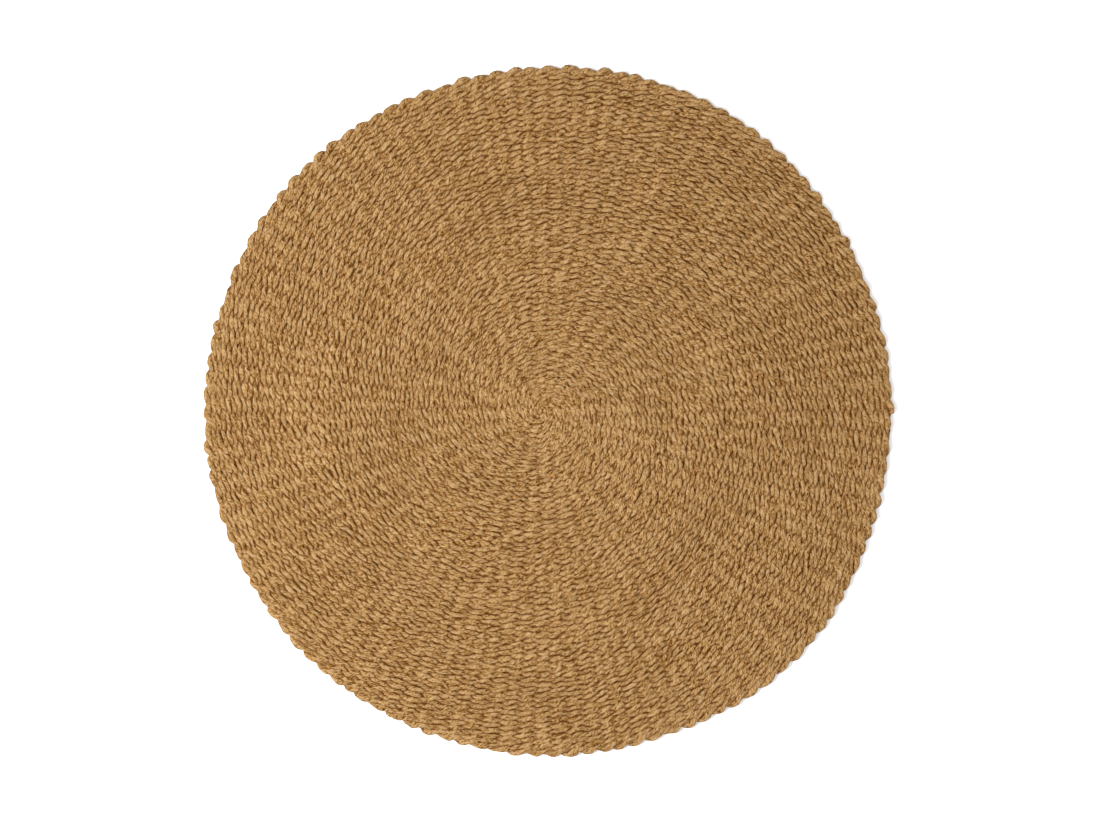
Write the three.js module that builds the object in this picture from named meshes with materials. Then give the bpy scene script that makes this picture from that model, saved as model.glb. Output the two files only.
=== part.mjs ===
// Round coir rug: one flat mat of twined coir cord, lying on its underside.
// Millimetres, +Z up. The origin is on the floor, under the middle of the rug.
//
// Radial warp cords fan out from the centre, and pairs of weft cords twist round them row by row.
// The rows are beaten up so tight that the mat is one solid. Its edge is the last row, which
// swells out a little between each warp cord and the next.

import * as THREE from "three";

// Driving dimensions
const DIAMETER = 1500; // mean width of the rug
const THICKNESS = 17; // a weft cord on top, the warp in the middle, a weft cord below
const RIM_ROUNDING = 5; // the rim is rounded over this much of each face and of the thickness
const RIM_STEPS = 2; // flats in each rounded corner

// The scalloped edge: one swelling between each warp cord and the next
const EDGE_WARPS = 120; // warp cords that reach the edge
const SCALLOP_DEPTH = 5.5; // peak to notch
const SCALLOP_SHARPNESS = 1.4; // over 1 gives round peaks and narrow notches
const SCALLOP_POINTS = 6; // outline points in each scallop
const WARP_WANDER = 0.35; // hand-set warps stray this far from even spacing, degrees

// The hand-made edge strays from a true circle in slow waves round the rim
const EDGE_WAVES = [
  { waves: 2, rise: 1.3, crestAt: 112 },
  { waves: 3, rise: 3.4, crestAt: 65 },
  { waves: 4, rise: 3.0, crestAt: 54 },
  { waves: 6, rise: 1.7, crestAt: 14 },
  { waves: 7, rise: 1.0, crestAt: 9 },
  { waves: 8, rise: 1.4, crestAt: 3 },
];

const COIR = new THREE.MeshStandardMaterial({ color: 0xa67d4d, roughness: 0.95, metalness: 0 });

const radians = THREE.MathUtils.degToRad;

// Direction of one warp cord at the edge
function warpAngle(index) {
  const even = ((index + 0.5) / EDGE_WARPS) * Math.PI * 2;
  return even + radians(WARP_WANDER) * (Math.sin(7 * even) + Math.sin(16 * even + 1));
}

// Edge radius without its scallops
function rimRadius(angle) {
  let radius = DIAMETER / 2;
  for (const { waves, rise, crestAt } of EDGE_WAVES) {
    radius += rise * Math.cos(waves * (angle - radians(crestAt)));
  }
  return radius;
}

// One outline point, the given share of the way from a warp cord to the next
function edgePoint(warp, share) {
  const angle = THREE.MathUtils.lerp(warpAngle(warp), warpAngle(warp + 1), share);
  const swelling = Math.sin(Math.PI * share) ** SCALLOP_SHARPNESS;
  const radius = rimRadius(angle) + SCALLOP_DEPTH * (swelling - 0.5);
  return new THREE.Vector2(radius * Math.cos(angle), radius * Math.sin(angle));
}

// The whole outline, with the middle of its bounding box on the origin
function outline() {
  const points = [];
  for (let warp = 0; warp < EDGE_WARPS; warp += 1) {
    for (let step = 0; step < SCALLOP_POINTS; step += 1) {
      points.push(edgePoint(warp, step / SCALLOP_POINTS));
    }
  }
  const middle = new THREE.Box2().setFromPoints(points).getCenter(new THREE.Vector2());
  return points.map((point) => point.sub(middle));
}

// The mat: the outline made as thick as the twining, with its rim rounded above and below
function rug() {
  const geometry = new THREE.ExtrudeGeometry(new THREE.Shape(outline()), {
    depth: THICKNESS - 2 * RIM_ROUNDING,
    steps: 1,
    bevelEnabled: true,
    bevelThickness: RIM_ROUNDING,
    bevelSize: RIM_ROUNDING,
    bevelOffset: -RIM_ROUNDING,
    bevelSegments: RIM_STEPS,
  });
  const mesh = new THREE.Mesh(geometry, COIR);
  mesh.name = "rug";
  mesh.position.z = RIM_ROUNDING;
  return mesh;
}

const part = new THREE.Group();
part.add(rug());

export default part;
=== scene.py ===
import math

import bpy
import numpy as np
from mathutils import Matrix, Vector


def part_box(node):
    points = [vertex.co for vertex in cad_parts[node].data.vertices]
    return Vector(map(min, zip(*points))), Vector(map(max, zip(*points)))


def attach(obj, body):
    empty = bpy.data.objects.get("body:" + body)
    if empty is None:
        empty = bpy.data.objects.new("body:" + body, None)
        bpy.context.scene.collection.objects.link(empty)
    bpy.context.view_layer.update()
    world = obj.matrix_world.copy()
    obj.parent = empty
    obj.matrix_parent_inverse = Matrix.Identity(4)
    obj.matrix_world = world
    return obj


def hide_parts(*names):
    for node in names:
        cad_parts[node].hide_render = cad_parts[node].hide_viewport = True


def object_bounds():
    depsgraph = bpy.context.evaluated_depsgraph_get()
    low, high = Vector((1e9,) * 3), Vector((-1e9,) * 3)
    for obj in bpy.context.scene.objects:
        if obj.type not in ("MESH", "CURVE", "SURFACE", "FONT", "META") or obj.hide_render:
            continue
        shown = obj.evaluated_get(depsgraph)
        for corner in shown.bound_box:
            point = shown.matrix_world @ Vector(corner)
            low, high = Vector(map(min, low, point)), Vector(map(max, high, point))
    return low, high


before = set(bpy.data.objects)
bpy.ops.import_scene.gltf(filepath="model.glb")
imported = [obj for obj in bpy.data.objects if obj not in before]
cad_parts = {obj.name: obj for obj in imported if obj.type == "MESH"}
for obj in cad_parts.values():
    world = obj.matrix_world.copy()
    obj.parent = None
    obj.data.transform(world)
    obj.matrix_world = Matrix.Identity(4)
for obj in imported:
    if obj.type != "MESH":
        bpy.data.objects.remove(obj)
cad_low, cad_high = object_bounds()


# ---------------------------------------------------------------- camera
# Straight above the rug, with +Y at the top of the picture, and far enough back that the round
# edge shows no lean. A portrait lens on a full-frame sensor.
LENS = 85.0  # mm
SENSOR = 36.0  # mm, across
VIEW_WIDTH = 2.393  # metres across the picture, at the height of the rug's top
VIEW_CENTRE = (0.0043, -0.0012)  # the middle of the picture, in the rug's plane
VIEW_END = 50.0  # metres, and nothing stands further off

camera = bpy.data.objects.new("camera", bpy.data.cameras.new("camera"))
camera.data.lens = LENS
camera.data.sensor_width = SENSOR
camera.data.clip_end = VIEW_END
camera.location = (*VIEW_CENTRE, cad_high.z + VIEW_WIDTH * LENS / SENSOR)
bpy.context.scene.collection.objects.link(camera)
bpy.context.scene.camera = camera


# ---------------------------------------------------------------- warp
# The spokes of the rug: coir cords that fan out from the core between the two faces of weft,
# matted together by the loose fibre that works in between them. Where the fan gets too open, new
# cords are laid in, each beside an older one.
RUG_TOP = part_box("rug")[1].z
MIDDLE = RUG_TOP / 2  # height halfway between the two faces
TURN = 2 * np.pi
RADIUS = 0.750  # to the middle of the scallops
TURNS = 66  # rows of weft from the core to the edge
ROW = 0.01204  # width of a row near the edge
CORE_ROW = 0.0088  # rows are beaten tighter at the core
ROW_EASE = 14.0  # number of rows over which they open up
CORE_SHIFT = -0.017  # the core lies a little to the -X side of the middle
CORE_SHIFT_ENDS = 0.65  # share of the radius
EDGE_WAVES = (
    (2, 0.0013, 112),  # waves round the rim, rise, direction of a crest
    (3, 0.0034, 65),
    (4, 0.0030, 54),
    (6, 0.0017, 14),
    (7, 0.0010, 9),
    (8, 0.0014, 3),
)
ROW_WAVES = (
    (2, 0.30, 0.11, 0.4),  # waves round a row, rise in rows, turn from row to row, turn of the first
    (3, 0.35, -0.17, 2.1),
    (5, 0.22, 0.23, 4.0),
    (9, 0.12, 0.41, 1.0),
)
WARPS = 120  # at the edge
LAID_IN_BY = (24, 12, 6, 3)  # every 24th warp starts at the core, every 12th from the next ring, and so on
LAID_IN_LATE = {2: 4, 5: 5}  # of the rest, place in each six and ring; those left start in the last ring
RINGS = (
    (0.000, 5),  # starts at this distance from the core, number of warps
    (0.026, 10),
    (0.048, 20),
    (0.141, 40),
    (0.265, 60),
    (0.308, 80),
    (0.487, 120),
)
RING_UNEVEN = 0.014  # new warps start this much nearer or further out
RING_UNEVEN_MOST = 0.2  # and no more than this share of the ring's distance
FAN = 0.050  # distance over which the warps spread to make room
FAN_BEFORE = 0.4  # share of the fan that comes before the new warps start
FAN_OPEN = 0.35  # a new warp is woven in once the fan is this far open
WANDER = math.radians(0.35)  # at the edge, warps crowd and spread in slow waves of this much
WANDER_WAVES = (7, 16)  # number of those waves round the rug, for each of two sets
WARP_UNEVEN = math.radians(0.27)  # a warp lies this far off its even place
WARP_MOST = 2  # and never further than this many times that
SWAY = 0.0007  # a warp weaves this far to each side of its line
SWAY_ROWS = 4.5  # rows in each radian of that sway
SWAY_FROM = 0.02  # nearer the core than this the sway gets no wider in angle

rng = np.random.default_rng(1501)


def ease(share):
    """Goes smoothly from 0 to 1, and stays there."""
    share = np.clip(share, 0, 1)
    return share * share * (3 - 2 * share)


def reach(rows):
    """Distance from the core, for a number of rows."""
    return ROW * rows - (ROW - CORE_ROW) * ROW_EASE * (1 - np.exp(-rows / ROW_EASE))


def spot(rows, angle):
    """Point in the rug's plane that many rows out from the core, in that direction."""
    share = reach(rows) / reach(TURNS)
    loose = 4 * share * (1 - share)  # the rows stray most halfway out
    wavy = sum(rise * np.sin(n * angle + twist * rows + first) for n, rise, twist, first in ROW_WAVES)
    share = reach(rows + wavy * loose) / reach(TURNS)
    edge = sum(rise * np.cos(n * (angle - math.radians(crest))) for n, rise, crest in EDGE_WAVES)
    radius = share * (RADIUS + edge * share)
    shift = CORE_SHIFT * (1 - ease(share / CORE_SHIFT_ENDS))
    return np.stack([radius * np.cos(angle) + shift, radius * np.sin(angle)], -1)


# the middle of the outline's box is put over the middle of the part
OUTLINE_STEPS = 1441
outline = spot(np.full(OUTLINE_STEPS, float(TURNS)), np.linspace(0, TURN, OUTLINE_STEPS))
outline_middle = (outline.min(0) + outline.max(0)) / 2


def first_ring(warp):
    """The ring in which a warp is laid in: each ring adds warps evenly between the older ones."""
    for ring, every in enumerate(LAID_IN_BY):
        if warp % every == 0:
            return ring
    return LAID_IN_LATE.get(warp % 6, len(RINGS) - 1)


def lay_warps():
    """Direction of every warp in every turn of the weft, and whether the warp is there yet."""
    warp = np.arange(WARPS)
    laid_in = np.array([first_ring(one) for one in warp])
    rows = np.arange(TURNS)[:, None] + (warp + 0.5) / WARPS
    distance = reach(rows)
    even = []
    for ring, (_, count) in enumerate(RINGS):
        evenly = (np.cumsum(laid_in <= ring) - 0.5) * TURN / count
        if ring > 0:
            evenly += (even[-1] - evenly)[laid_in < ring].mean()
        even.append(evenly)
    even = np.array(even) + ((warp + 0.5) * TURN / WARPS - even[-1])[0]
    direction = even[0] + 0 * rows
    there = (laid_in == 0) & (rows >= 0)
    for ring, (start, _) in enumerate(RINGS[1:], 1):
        parent = np.cumsum(laid_in < ring) - 1
        late = rng.uniform(-1, 1, WARPS)[parent] * min(RING_UNEVEN, RING_UNEVEN_MOST * start)
        opened = ease((distance - start - late + FAN * FAN_BEFORE) / min(FAN, start))
        direction = direction + opened * (even[ring] - even[ring - 1])
        there = there | ((laid_in == ring) & (opened > FAN_OPEN))
    wander = np.sin(WANDER_WAVES[0] * direction) + np.sin(WANDER_WAVES[1] * direction + 1)
    direction = direction + WANDER * wander * distance / RADIUS
    direction = direction + WARP_UNEVEN * np.clip(rng.normal(0, 1, WARPS), -WARP_MOST, WARP_MOST)
    sway = SWAY * np.sin(rows / SWAY_ROWS + rng.uniform(0, TURN, WARPS))
    return direction + sway / np.maximum(distance, SWAY_FROM), there


warp_direction, warp_there = lay_warps()


def new_piece(name, points, faces, material):
    """A piece of the rug from its points and its faces, arrays of point numbers."""
    mesh = bpy.data.meshes.new(name)
    mesh.vertices.add(len(points))
    mesh.vertices.foreach_set("co", points.astype(np.float32).ravel())
    corners = np.concatenate([group.ravel() for group in faces])
    sizes = np.concatenate([np.full(len(group), group.shape[1]) for group in faces])
    starts = np.concatenate([[0], np.cumsum(sizes)[:-1]])
    mesh.loops.add(len(corners))
    mesh.loops.foreach_set("vertex_index", corners.astype(np.int32))
    mesh.polygons.add(len(sizes))
    mesh.polygons.foreach_set("loop_start", starts.astype(np.int32))
    mesh.polygons.foreach_set("use_smooth", np.ones(len(sizes), bool))
    mesh.update(calc_edges=True)
    mesh.materials.append(material)
    piece = bpy.data.objects.new(name, mesh)
    bpy.context.scene.collection.objects.link(piece)
    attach(piece, "root")
    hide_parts("rug")
    return piece


def linear(colour):
    """A #rrggbb sRGB colour as linear light."""
    parts = [int(colour[i : i + 2], 16) / 255 for i in (1, 3, 5)]
    return [c / 12.92 if c <= 0.04045 else ((c + 0.055) / 1.055) ** 2.4 for c in parts] + [1.0]


def add(tree, kind, settings, inputs):
    """Adds a node, sets its settings, and sets or links its inputs, given by name or number."""
    node = tree.nodes.new(kind)
    for name, value in settings.items():
        setattr(node, name, value)
    for key, value in inputs.items():
        if isinstance(value, bpy.types.NodeSocket):
            tree.links.new(value, node.inputs[key])
        else:
            node.inputs[key].default_value = value
    return node


# Matted coir: short loose fibre, dull and a darker brown than the yarn, seen only deep between the cords.
MAT_TUFTS = 900.0  # tufts in a metre
matted_coir = bpy.data.materials.new("matted_coir_fibre")
matted_coir.use_nodes = True
mat = matted_coir.node_tree
mat_shader = mat.nodes["Principled BSDF"]
mat_shader.inputs["Roughness"].default_value = 0.95
mat_shader.inputs["Specular IOR Level"].default_value = 0.2
mat_place = add(mat, "ShaderNodeTexCoord", {}, {})
mat_fluff = add(mat, "ShaderNodeTexNoise", {},
                {"Vector": mat_place.outputs["Object"], "Scale": MAT_TUFTS, "Detail": 4.0})
mat_brown = add(mat, "ShaderNodeMix", {"data_type": "RGBA"},
                {0: mat_fluff.outputs["Fac"], 6: linear("#2c1503"), 7: linear("#784b1a")})
mat.links.new(mat_brown.outputs[2], mat_shader.inputs["Base Color"])

MAT_RINGS = 25  # rings of points from the core to the last row
MAT_START = 0.3  # rows from the core to the first ring
MAT_INNER = 1.2  # rows from the edge to the last of those rings
MAT_EDGE = 0.5  # rows from the edge to the rim of the sheet
MAT_TONGUE = 0.5  # the matted fibre fills the scallops this much further out, in rows
MAT_RIDGE = 0.0022  # half thickness over a warp
MAT_VALLEY = 0.0008  # half thickness between two warps
MAT_RIM = 0.0004  # half thickness at the rim


def matted_warp():
    """A closed sheet with a ridge over each warp, and a tongue into each scallop."""
    spokes = 2 * WARPS
    on_warp = np.arange(spokes) % 2 == 0
    ridges = warp_direction[-1]
    beside = (ridges + np.append(ridges[1:], ridges[0] + TURN)) / 2
    angle = np.stack([ridges, beside], -1).ravel()
    rows = np.append(np.linspace(MAT_START, TURNS - MAT_INNER, MAT_RINGS), TURNS - MAT_EDGE)[:, None]
    rows = rows + np.where(on_warp, 0, MAT_TONGUE) * (rows == rows.max())
    flat = spot(rows, angle + 0 * rows) - outline_middle
    half = np.where(on_warp, MAT_RIDGE, MAT_VALLEY) + 0 * rows
    half[-1] = MAT_RIM
    top = np.concatenate([flat, (MIDDLE + half)[..., None]], -1)
    bottom = np.concatenate([flat, (MIDDLE - half)[..., None]], -1)
    rings = len(rows)
    points = np.concatenate([top.reshape(-1, 3), bottom.reshape(-1, 3)])
    i, j = np.meshgrid(np.arange(rings - 1) * spokes, np.arange(spokes), indexing="ij")
    k = (j + 1) % spokes
    up = np.stack([i + j, i + spokes + j, i + spokes + k, i + k], -1).reshape(-1, 4)
    under = rings * spokes
    down = up[:, ::-1] + under
    j = np.arange(spokes)
    k = (j + 1) % spokes
    rim = under - spokes
    side = np.stack([rim + j, rim + j + under, rim + k + under, rim + k], -1)
    caps = np.stack([j, under + j[::-1]])
    return new_piece("matted_warp", points, [up, down, side, caps], matted_coir)


warp_sheet = matted_warp()


# ---------------------------------------------------------------- weft
# Two coir cords that twist round each other along a spiral from the core to the edge, one over and
# one under each warp in turn. Two-ply and hand spun, beaten up until the rows touch. The pair is
# spliced from lengths, and its end is thinned and tucked in.
SIDES = 8  # of a cord's section
OVER = (0.0, 0.07, 0.19, 0.34, 0.5, 0.66, 0.81, 0.93)  # shares of a stitch, on the upper face
UNDER = (0.0, 0.14, 0.5, 0.86)  # the same on the lower face, which lies on the floor
RIM = (0.0, 0.03, 0.07, 0.13, 0.2, 0.28, 0.38, 0.5, 0.62, 0.72, 0.8, 0.87, 0.93, 0.97)  # in the last row
FINE_ROWS = 1.5  # rows at the edge, where the lower face is as fine as the upper one
START = 0.15  # turns, where the pair comes up at the core
JITTER = 0.07  # a crossing lies this far off the middle between two warps, as a share of the gap
SLANT = 0.222  # a stitch runs from this many rows outside its row to as many inside
SLANT_UNEVEN = 0.20  # a stitch leans this much more or less than others, as a share
CORD_WIDE = 0.50  # half width on a face, in rows
CORD_TIGHT = 0.27  # half width where the cords cross
RIM_TIGHT = 0.36  # the same in the last row, which nothing squeezes
CORD_HIGH = 0.0041  # half height
HIGH_UNEVEN = 0.0003  # a stitch stands this much higher or lower than others
BULGE = 0.42  # a cord squeezed narrow at a crossing is this much higher
WIDEN = 0.60  # how soon it gets its full width: over 0.5 leaves a pit at each end of a stitch
RISE = 0.50  # how steeply a cord comes up from a crossing: under 1 is steep
RIM_RISE = 0.8  # the same in the last row
LAY = 0.070  # metres for one turn of the two plies
LAY_DRIFT = 0.8  # the lay strays this far, in radians
LAY_GRAIN = 0.06  # metres from one bend of that drift to the next
PLY_LOBE = 0.15  # the groove between the plies goes this far in, as a share of the section
LUMP = 0.045  # hand-spun lumps, as a share of the section
ROW_UNEVEN = 0.095  # the line between two rows strays this far, in rows
ROW_GRAIN = 0.013  # metres from one bend of that line to the next
OPEN = -0.08  # rows left open between two cords, on average: they press into each other
OPEN_UNEVEN = 0.17  # that varies by this much along a row
OPEN_GRAIN = 0.0065  # metres from one change to the next
CORE_TURNS = 12  # the core gives way to even weaving over this many rows
CORE_LOOSE = 0.6  # the core's rows are this much more uneven
CORE_SLANT = 0.3  # its stitches lean this much more unevenly
CORE_JITTER = 0.03  # its crossings lie this much further off
CORE_PRESSED = 0.50  # its cords press this much further into each other, in rows
CORE_EVEN = 4  # how soon outside the core the cords bulge at crossings: more is sooner
SETTLE_ROWS = 8  # the last rows settle from a spiral into closed rings
TAPER = 12 / 360  # share of a turn over which the end of the pair is thinned
THINNED = 0.9  # its width shrinks by this share
THINNED_HIGH = 0.6  # and its height by this share of that
THINNED_LIFT = 0.5  # and its rise over the warp by this share of it
SCALLOP_DEPTH = 0.0070  # the last row swings out this far at each crossing
SCALLOP_SHARPNESS = 1.4  # over 1 gives round peaks and narrow notches
SCALLOP_UNEVEN = 0.26  # a scallop is this much deeper or flatter than others, as a share
SCALLOP_GIVE = 0.5  # each row further in gives way by this share of what the next one out does
SCALLOP_FILL = 0.4  # share of the swing that widens the cord instead, so that no hole is left behind it
SPLICES = 6  # lengths that are spliced, end to end, into the pair
MOST_UNEVEN = 2.2  # no stitch is further off than this many times the usual
STEPS = 80001  # places along the spiral where the line between two rows is known
ROW_PROBE = 0.2  # rows to each side, over which a row's width and direction are measured


def core_share(angle):
    """1 at the core, and less and less further out along the spiral."""
    return np.exp(-angle / (TURN * CORE_TURNS))


turn_number = np.arange(TURNS)[:, None] + 0 * warp_direction
crossing = (warp_direction + TURN * turn_number)[warp_there]
crossing = crossing[crossing > TURN * START]
apart = np.diff(crossing)
assert apart.min() > 0, "two warps lie in the wrong order"
jitter = JITTER + CORE_JITTER * core_share(crossing[:-1])
between = crossing[:-1] + apart * (0.5 + jitter * rng.uniform(-1, 1, len(apart)))
stitches = len(between) - 1
stitch_angle = np.diff(between)


def uneven(size):
    """A small difference for each stitch."""
    return size * np.clip(rng.normal(0, 1, stitches), -MOST_UNEVEN, MOST_UNEVEN)


stitch_slant = SLANT * (1 + uneven(SLANT_UNEVEN + CORE_SLANT * core_share(between[:-1])))
stitch_high = uneven(HIGH_UNEVEN)
stitch_tone = uneven(1.0)
stitch_scallop = 1 + uneven(SCALLOP_UNEVEN)


def straying(along, size, grain):
    """A value for every place along a cord, that strays to both sides of nought."""
    knots = rng.normal(0, size, int(along[-1] / grain) + 2)
    return np.interp(along / grain, np.arange(len(knots)), knots)


spiral_angle = np.linspace(0, TURNS * TURN, STEPS)
spiral_length = np.cumsum(reach(spiral_angle / TURN)) * spiral_angle[1]
row_line = straying(spiral_length, ROW_UNEVEN, ROW_GRAIN) * (1 + CORE_LOOSE * core_share(spiral_angle))
row_open = OPEN - CORE_PRESSED * core_share(spiral_angle) + straying(spiral_length, OPEN_UNEVEN, OPEN_GRAIN)


def cord_places(strand):
    """Stitch, share of the stitch, and face (1 upper, -1 lower) for every ring of one cord."""
    number = np.arange(stitches)
    rim = between[1:] > (TURNS - 1) * TURN
    fine = (number % 2 == strand) | (between[:-1] > (TURNS - FINE_ROWS) * TURN)
    numbers, shares = [], []
    for mine, steps in ((rim, RIM), (fine & ~rim, OVER), (~fine & ~rim, UNDER)):
        numbers.append(np.repeat(number[mine], len(steps)))
        shares.append(np.tile(steps, mine.sum()))
    numbers, shares = np.concatenate(numbers), np.concatenate(shares)
    order = np.argsort(numbers + shares, kind="stable")
    numbers, shares = numbers[order], shares[order]
    return numbers, shares, np.where(numbers % 2 == strand, 1, -1)


def cord_rings(strand):
    """Rings of points round one cord, its length and drift at each ring, and the ring's stitch."""
    number, share, face = cord_places(strand)
    near = np.minimum(number + (share > 0.5), stitches - 1)  # number of the nearer crossing
    angle = between[number] + share * stitch_angle[number]
    left = TURNS - angle / TURN
    last = left < 1
    arch = np.sin(np.pi * share) ** np.where(last, RIM_RISE, RISE)  # 0 at a crossing, 1 over a warp

    # the last rows step outwards where the end of the pair is tucked in
    part = left % 1
    tuck = 1 - ease(part / TAPER)
    full = np.where(last, 1 - THINNED * tuck, 1.0)
    settle = (part - 0.5 + tuck) * np.exp(-np.floor(left) / SETTLE_ROWS)
    rows = np.where(last, TURNS - full / 2, angle / TURN + settle)

    # each stitch slants across its row and fills it, from one uneven line to the next
    outer = np.interp(angle, spiral_angle, row_line - row_open / 2)
    inner = np.interp(angle - TURN, spiral_angle, row_line + row_open / 2)
    outer = np.where(last, 0, outer)
    rows = rows + face * stitch_slant[near] * np.cos(np.pi * share) * full + (outer + inner) / 2 * arch
    tight = np.where(last, RIM_TIGHT, CORD_TIGHT)
    widened = np.sin(np.pi * share) ** np.where(last, RIM_RISE, WIDEN)
    wide = tight + (CORD_WIDE - tight) * widened + (outer - inner) / 2 * arch

    # the last row swings out at every crossing and widens there, and the rows inside it give way
    crowd = SCALLOP_DEPTH / 2 / ROW * SCALLOP_GIVE ** np.floor(left)
    peak = SCALLOP_DEPTH / ROW * stitch_scallop[near] + CORD_WIDE - RIM_TIGHT - SLANT
    outward = (share < 0.5) == (face > 0)
    swelling = np.abs(np.cos(np.pi * share)) ** SCALLOP_SHARPNESS
    swing = np.where(last & outward, peak * swelling, 0)
    rows = rows - crowd + swing * (1 - SCALLOP_FILL) * full
    wide = wide + swing * SCALLOP_FILL

    # up over the warp on one face and down under it on the other
    bulge = 1 + BULGE * (1 - arch) * (1 - core_share(angle) ** CORE_EVEN)
    high = CORD_HIGH * (1 - (1 - full) * THINNED_HIGH) * bulge
    lift = (MIDDLE - CORD_HIGH + stitch_high[number]) * arch * (1 - (1 - full) * THINNED_LIFT)
    centre = np.concatenate([spot(rows, angle) - outline_middle, (MIDDLE + face * lift)[:, None]], 1)

    # directions ahead, outwards and upwards at each ring
    step = np.gradient(centre, axis=0)
    ahead = step / np.linalg.norm(step, axis=1)[:, None]
    along = np.concatenate([[0], np.cumsum(np.linalg.norm(np.diff(centre, axis=0), axis=1))])
    out = (spot(rows + ROW_PROBE, angle) - spot(rows - ROW_PROBE, angle)) / (2 * ROW_PROBE)
    row_width = np.linalg.norm(out, axis=1)
    out = np.concatenate([out, np.zeros((len(out), 1))], 1)
    out -= (out * ahead).sum(1)[:, None] * ahead
    out /= np.linalg.norm(out, axis=1)[:, None]
    up = np.cross(ahead, out)
    up *= np.where(up[:, 2:3] < 0, -1, 1)

    # two plies turn round the cord as it goes along
    drift = straying(along, LAY_DRIFT, LAY_GRAIN) / TURN
    around = np.arange(SIDES) / SIDES
    phase = around[None, :] + (drift - along / LAY)[:, None]
    swell = 1 + PLY_LOBE * np.cos(2 * TURN * phase) + LUMP * rng.normal(0, 1, phase.shape)
    round_cord = TURN * around - np.pi / 2
    sideways = (np.cos(round_cord) * swell * (wide * full * row_width)[:, None])[..., None]
    upwards = (np.sin(round_cord) * swell * high[:, None])[..., None]
    ring = centre[:, None, :] + sideways * out[:, None, :] + upwards * up[:, None, :]
    ring[..., 2] = np.maximum(ring[..., 2], 0.0)
    return ring, along, drift, number


# Coir yarn, spun by hand and left raw: hard, dull, hairy fibre with hardly a shine, with browner strands and
# tufts spun in. Painted shade darkens and browns it in the grooves between the plies and deep between the
# cords, and leaves the crowns pale. Single fibres are a fifth of a millimetre across, too fine to show, and
# are drawn 1.2 mm across.
CORD_ROUND = 0.005  # mean radius of a cord's section
PATTERNS = (
    ("fibres", 0.00125, 0.0100, 4.0, 0.60),  # width and length of a mark, detail, roughness
    ("strands", 0.0023, 0.0076, 2.0, 0.55),
    ("tufts", 0.0021, 0.0046, 2.0, 0.60),
)
BLOTCHES = 9.0  # darker and paler patches, in a metre
RELIEF = {"plies": 0.0008, "strands": 0.0040, "fibres": 0.0022}  # metres, drawn deep enough to show
GROOVE = 0.008  # fibre this near to a place can shade it
GROOVE_DEEP = 0.18  # a place as closed in as this, or more, is at its brownest
GROOVE_OPEN = 0.88  # a place as open as this, or more, isn't browned

coir_yarn = bpy.data.materials.new("two_ply_coir_yarn")
coir_yarn.use_nodes = True
yarn = coir_yarn.node_tree
yarn_shader = yarn.nodes["Principled BSDF"]
yarn_shader.inputs["Roughness"].default_value = 0.9
yarn_shader.inputs["Specular IOR Level"].default_value = 0.03

# the map called lay holds turns round the cord and metres along it; patterns turn with the plies
lay = add(yarn, "ShaderNodeUVMap", {"uv_map": "lay"}, {})
lay_parts = add(yarn, "ShaderNodeSeparateXYZ", {}, {0: lay.outputs[0]})
turned = add(yarn, "ShaderNodeMath", {"operation": "MULTIPLY_ADD"},
             {0: lay_parts.outputs[1], 1: -1 / LAY, 2: lay_parts.outputs[0]})
radians = add(yarn, "ShaderNodeMath", {"operation": "MULTIPLY"}, {0: turned.outputs[0], 1: TURN})
cosine = add(yarn, "ShaderNodeMath", {"operation": "COSINE"}, {0: radians.outputs[0]})
sine = add(yarn, "ShaderNodeMath", {"operation": "SINE"}, {0: radians.outputs[0]})
twice = add(yarn, "ShaderNodeMath", {"operation": "MULTIPLY"}, {0: radians.outputs[0], 1: 2.0})
plies = add(yarn, "ShaderNodeMath", {"operation": "COSINE"}, {0: twice.outputs[0]}).outputs[0]
pattern = {}
for kind, mark_wide, mark_long, detail, roughness in PATTERNS:
    scale = CORD_ROUND / mark_wide
    along_cord = add(yarn, "ShaderNodeMath", {"operation": "MULTIPLY"},
                     {0: lay_parts.outputs[1], 1: 1 / (mark_long * scale)})
    on_cord = add(yarn, "ShaderNodeCombineXYZ", {},
                  {0: cosine.outputs[0], 1: sine.outputs[0], 2: along_cord.outputs[0]})
    noise = add(yarn, "ShaderNodeTexNoise", {},
                {"Vector": on_cord.outputs[0], "Scale": scale, "Detail": detail, "Roughness": roughness})
    pattern[kind] = noise.outputs["Fac"]
yarn_place = add(yarn, "ShaderNodeTexCoord", {}, {})
blotch = add(yarn, "ShaderNodeTexNoise", {},
             {"Vector": yarn_place.outputs["Object"], "Scale": BLOTCHES, "Detail": 3.0, "Roughness": 0.5})
tone = add(yarn, "ShaderNodeAttribute", {"attribute_name": "tone"}, {})

# how light each place is, from 0 to 1
shade = 0.5
for source, middle, strength in (
    # painted shade: the grooves between the plies are painted darker and the ply crowns lighter
    (plies, 0.0, 0.08),
    (pattern["fibres"], 0.5, 1.6),
    (pattern["strands"], 0.5, 0.9),
    (pattern["tufts"], 0.5, 2.1),
    (blotch.outputs["Fac"], 0.5, 0.12),
    (tone.outputs["Fac"], 0.0, 0.03),
):
    offset = add(yarn, "ShaderNodeMath", {"operation": "SUBTRACT"}, {0: source, 1: middle})
    sum_so_far = add(yarn, "ShaderNodeMath", {"operation": "MULTIPLY_ADD"},
                     {0: offset.outputs[0], 1: strength, 2: shade})
    shade = sum_so_far.outputs[0]
coir_browns = add(yarn, "ShaderNodeValToRGB", {}, {"Fac": shade})
ramp = coir_browns.color_ramp
ramp.elements[0].color = linear("#441d00")
ramp.elements[1].color = linear("#af936f")
ramp.elements.new(0.25).color = linear("#734b19")
ramp.elements.new(0.50).color = linear("#a27f4f")
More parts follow.
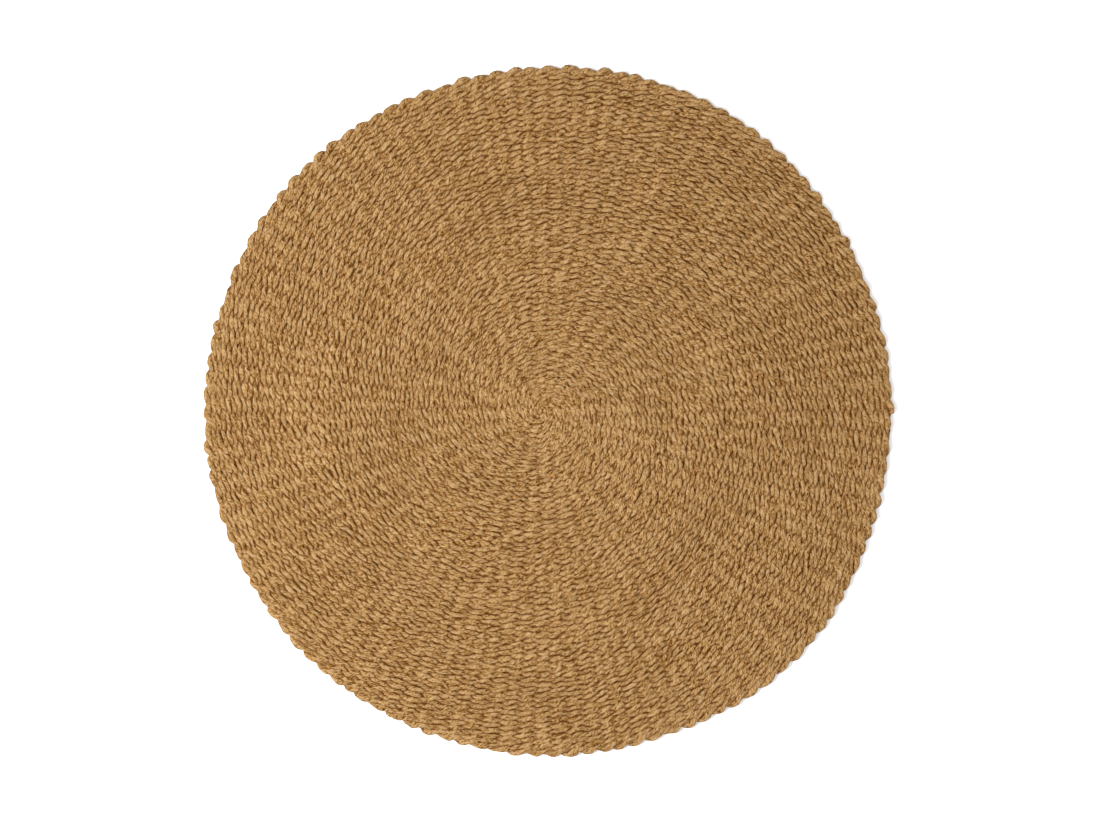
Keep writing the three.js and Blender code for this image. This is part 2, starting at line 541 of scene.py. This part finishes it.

# painted shade: deep in a groove only light that has bounced off other fibres arrives, so the colour is
# painted browner and darker there, the more closed in the place is
openness = add(yarn, "ShaderNodeAmbientOcclusion", {"samples": 6}, {"Distance": GROOVE})
crown = add(yarn, "ShaderNodeMapRange", {},
            {"Value": openness.outputs["AO"], "From Min": GROOVE_DEEP, "From Max": GROOVE_OPEN})
painted_groove_shade = add(yarn, "ShaderNodeMix", {"data_type": "RGBA"},
              {0: crown.outputs[0], 6: linear("#e8a93f"), 7: linear("#ffffff")})
coloured = add(yarn, "ShaderNodeMix", {"data_type": "RGBA", "blend_type": "MULTIPLY"},
               {0: 1.0, 6: coir_browns.outputs["Color"], 7: painted_groove_shade.outputs[2]})
yarn.links.new(coloured.outputs[2], yarn_shader.inputs["Base Color"])

ply_bump = add(yarn, "ShaderNodeBump", {},
               {"Height": plies, "Distance": RELIEF["plies"], "Strength": 0.8})
strand_bump = add(yarn, "ShaderNodeBump", {},
                  {"Height": pattern["strands"], "Distance": RELIEF["strands"], "Strength": 0.9,
                   "Normal": ply_bump.outputs[0]})
fibre_bump = add(yarn, "ShaderNodeBump", {},
                 {"Height": pattern["fibres"], "Distance": RELIEF["fibres"], "Strength": 0.9,
                  "Normal": strand_bump.outputs[0]})
yarn.links.new(fibre_bump.outputs[0], yarn_shader.inputs["Normal"])


def tube_faces(rings, offset):
    """Quads between rings of SIDES points, and a cap at each end."""
    i, j = np.meshgrid(np.arange(rings - 1), np.arange(SIDES), indexing="ij")
    k = (j + 1) % SIDES
    quads = np.stack([i * SIDES + j, i * SIDES + k, (i + 1) * SIDES + k, (i + 1) * SIDES + j], -1)
    caps = np.stack([np.arange(SIDES)[::-1], (rings - 1) * SIDES + np.arange(SIDES)])
    return quads.reshape(-1, 4) + offset, caps + offset


def weft_length(name, cords):
    """One spliced length of the pair, as one piece."""
    points, quads, caps, lays, tones = [], [], [], [], []
    offset = 0
    for ring, along, drift, tones_here in cords:
        rings = len(ring)
        new_quads, new_caps = tube_faces(rings, offset)
        points.append(ring.reshape(-1, 3))
        quads.append(new_quads)
        caps.append(new_caps)
        i, j = np.meshgrid(np.arange(rings - 1), np.arange(SIDES), indexing="ij")
        turns = np.stack([j, j + 1, j + 1, j], -1) / SIDES
        turns = turns + np.stack([drift[i], drift[i], drift[i + 1], drift[i + 1]], -1)
        metres = np.stack([along[i], along[i], along[i + 1], along[i + 1]], -1)
        lays.append(np.stack([turns, metres], -1).reshape(-1, 2))
        tones.append(np.repeat(tones_here, SIDES))
        offset += rings * SIDES
    quads, caps = np.concatenate(quads), np.concatenate(caps)
    piece = new_piece(name, np.concatenate(points), [quads, caps], coir_yarn)
    lay_map = np.zeros((len(piece.data.loops), 2), np.float32)
    lay_map[: quads.size] = np.concatenate(lays)
    piece.data.uv_layers.new(name="lay").data.foreach_set("uv", lay_map.ravel())
    tone_of_points = piece.data.attributes.new("tone", "FLOAT", "POINT")
    tone_of_points.data.foreach_set("value", np.concatenate(tones).astype(np.float32))
    return piece


pair = [cord_rings(0), cord_rings(1)]
splice_at = np.linspace(0, stitches, SPLICES + 1).astype(int)
for length in range(SPLICES):
    cords = []
    for ring, along, drift, number in pair:
        first, last = np.searchsorted(number, splice_at[length : length + 2])
        mine = slice(first, min(last + 1, len(number)))
        cords.append((ring[mine], along[mine], drift[mine], stitch_tone[number[mine]]))
    weft_length(f"weft_length_{length + 1}", cords)


# ---------------------------------------------------------------- floor
# A board painted plain, very pale and quite matt, far larger than the rug, so that its edges stay
# out of sight. It lies a hair below the rug, so that the two faces don't coincide.
FLOOR_HALF = 6.0
FLOOR_TOP = -0.0003

floor_corners = [(x * FLOOR_HALF, y * FLOOR_HALF, FLOOR_TOP) for x, y in ((-1, -1), (1, -1), (1, 1), (-1, 1))]
floor_mesh = bpy.data.meshes.new("floor")
floor_mesh.from_pydata(floor_corners, [], [(0, 1, 2, 3)])
floor = bpy.data.objects.new("floor", floor_mesh)
bpy.context.scene.collection.objects.link(floor)
pale = bpy.data.materials.new("pale_matt_floor")
pale.use_nodes = True
pale_shader = pale.node_tree.nodes["Principled BSDF"]
pale_shader.inputs["Base Color"].default_value = linear("#f8f8f8")
pale_shader.inputs["Roughness"].default_value = 1.0
pale_shader.inputs["Specular IOR Level"].default_value = 0.0
floor_mesh.materials.append(pale)


# ---------------------------------------------------------------- light
# Even white light from all round, as in a white studio, and one large soft box up to the -X side,
# which gives the stitches their lit and shaded sides.
STUDIO_LIGHT = 1.12
SOFT_BOX_AT = Vector((-2.2, -0.5, 3.2))
SOFT_BOX_WIDE = 1.6
SOFT_BOX_POWER = 163.0  # watts

world = bpy.data.worlds.new("studio")
world.use_nodes = True
world.node_tree.nodes["Background"].inputs["Color"].default_value = linear("#ffffff")
world.node_tree.nodes["Background"].inputs["Strength"].default_value = STUDIO_LIGHT
bpy.context.scene.world = world

soft_box = bpy.data.objects.new("soft_box", bpy.data.lights.new("soft_box", "AREA"))
soft_box.data.shape = "DISK"
soft_box.data.size = SOFT_BOX_WIDE
soft_box.data.energy = SOFT_BOX_POWER
soft_box.location = SOFT_BOX_AT
soft_box.rotation_euler = (-SOFT_BOX_AT).to_track_quat("-Z", "Y").to_euler()
bpy.context.scene.collection.objects.link(soft_box)

bpy.context.scene.view_settings.view_transform = "Standard"
